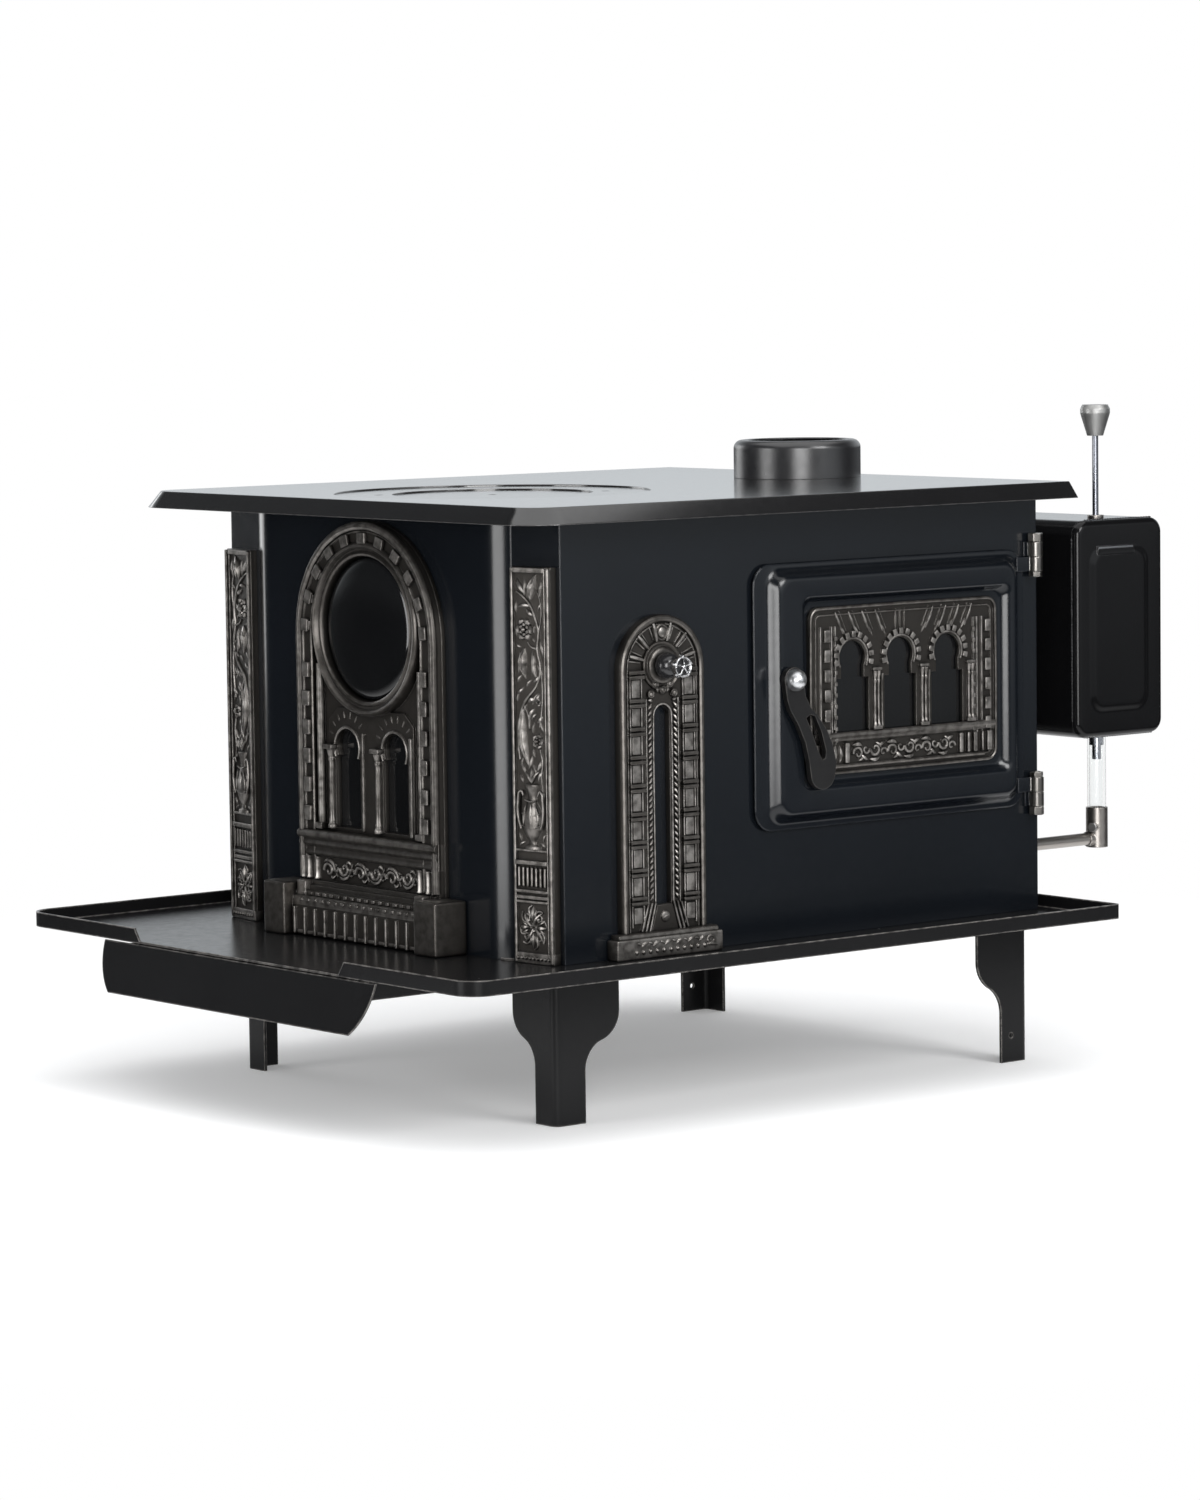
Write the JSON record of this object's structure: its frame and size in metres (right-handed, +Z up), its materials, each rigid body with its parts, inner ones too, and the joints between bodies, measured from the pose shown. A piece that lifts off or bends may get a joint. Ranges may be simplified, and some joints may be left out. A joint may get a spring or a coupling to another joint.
{
  "type": "box heating stove",
  "caption": "Steel box stove on legs with a wide hearth tray, cast ornamental panels, a glazed side loading door, a cooking ring, a flue collar and a rear drip oil tank.",
  "frame": {"origin": "bottom centre of the bounding box: on the floor, half way between the outermost points in X and in Y", "axes": "+Z up; the arched front panel faces -Y; the loading door is on the +X side; the oil tank is at the +Y end"},
  "size_m": [0.704, 0.929, 0.631],
  "materials": {
    "casing_enamel": "satin blue-black stove enamel",
    "tray_black": "satin black, worn on the edges",
    "plate_black": "satin black heat-proof paint",
    "cast_ornament": "dark cast iron with rubbed high points",
    "cast_plain": "plain blackened iron",
    "liner_black": "dull black",
    "fasteners": "zinc plated",
    "hinge_nickel": "dull nickel plate",
    "lever_black": "gloss black",
    "bright_chrome": "polished",
    "knob_aluminium": "matt turned",
    "valve_steel": "satin steel",
    "tank_gloss": "gloss black enamel",
    "dark_glass": "smoked heat-proof glass",
    "clear_tube": "clear",
    "seal_rope": "woven glass rope"
  },
  "bodies": {
    "stove": {"hearth_tray": "tray_black", "leg_front_right": "tray_black", "leg_front_left": "tray_black", "leg_rear_right": "tray_black", "leg_rear_left": "tray_black", "leg_bolts": "fasteners", "leg_nuts": "fasteners", "floor_panel": "tray_black", "casing": "casing_enamel", "back_panel": "casing_enamel", "top_plate": "plate_black", "flue_collar": "plate_black", "front_arch": "cast_ornament", "window_glass": "dark_glass", "window_keeper": "liner_black", "niche_glass": "dark_glass", "corner_strip_right": "cast_ornament", "corner_strip_left": "cast_ornament", "side_arch": "cast_ornament", "panel_nuts": "fasteners", "hinge_case_leaves": "hinge_nickel", "hinge_pins": "hinge_nickel", "hinge_nuts": "hinge_nickel", "latch_catch": "liner_black", "tank_body": "tank_gloss", "tank_cap_right": "tank_gloss", "tank_cap_left": "tank_gloss", "tank_brackets": "tray_black", "bracket_screws": "fasteners", "filler_neck": "valve_steel", "valve_gland": "valve_steel", "drip_nozzle": "valve_steel", "sight_tube": "clear_tube", "feed_socket": "valve_steel", "plug_screw": "fasteners", "feed_pipe": "valve_steel", "grate": "cast_plain", "baffle": "cast_plain", "baffle_ledges": "cast_plain", "drawer_rails": "tray_black"},
    "door": {"door_skin": "casing_enamel", "door_casting": "cast_ornament", "door_glass": "dark_glass", "door_liner": "liner_black", "door_screws": "fasteners", "door_seal": "seal_rope", "hinge_door_leaves": "hinge_nickel"},
    "latch": {"latch_handle": "lever_black", "latch_dome_nut": "bright_chrome", "latch_tongue": "liner_black"},
    "air_control": {"air_knob": "bright_chrome", "air_shutter": "liner_black"},
    "ring": {"cook_ring": "cast_plain"},
    "lid": {"cook_lid": "cast_plain"},
    "spindle": {"valve_rod": "valve_steel", "valve_knob": "knob_aluminium"},
    "drawer": {"ash_drawer": "tray_black"},
    "cap": {"filler_cap": "tank_gloss"},
    "pot": {"burner_pot": "cast_plain"}
  },
  "joints": [
    {"name": "door_swing", "type": "hinge", "parent": "stove", "child": "door", "pos_m": [0.2625, 0.3055, 0.3735], "axis": [0, 0, 1], "range_deg": [0, 140]},
    {"name": "latch_turn", "type": "hinge", "parent": "door", "child": "latch", "pos_m": [0.2755, -0.0135, 0.3906], "axis": [1, 0, 0], "range_deg": [0, 90]},
    {"name": "air_turn", "type": "hinge", "parent": "stove", "child": "air_control", "pos_m": [0.28, -0.159, 0.412], "axis": [1, 0, 0], "range_deg": [0, 45]},
    {"name": "ring_lift", "type": "slide", "parent": "stove", "child": "ring", "axis": [0, 0, 1], "range_m": [0, 0.06]},
    {"name": "lid_lift", "type": "slide", "parent": "ring", "child": "lid", "axis": [0, 0, 1], "range_m": [0, 0.06]},
    {"name": "knob_turn", "type": "hinge", "parent": "stove", "child": "spindle", "pos_m": [0.241, 0.4065, 0.616], "axis": [0, 0, 1], "range_deg": [0, 720]},
    {"name": "drawer_slide", "type": "slide", "parent": "stove", "child": "drawer", "axis": [0, -1, 0], "range_m": [0, 0.13]},
    {"name": "cap_lift", "type": "slide", "parent": "stove", "child": "cap", "axis": [0, 0, 1], "range_m": [0, 0.05]},
    {"name": "pot_slide", "type": "slide", "parent": "stove", "child": "pot", "axis": [0, -1, 0], "range_m": [0, 0.08]}
  ]
}
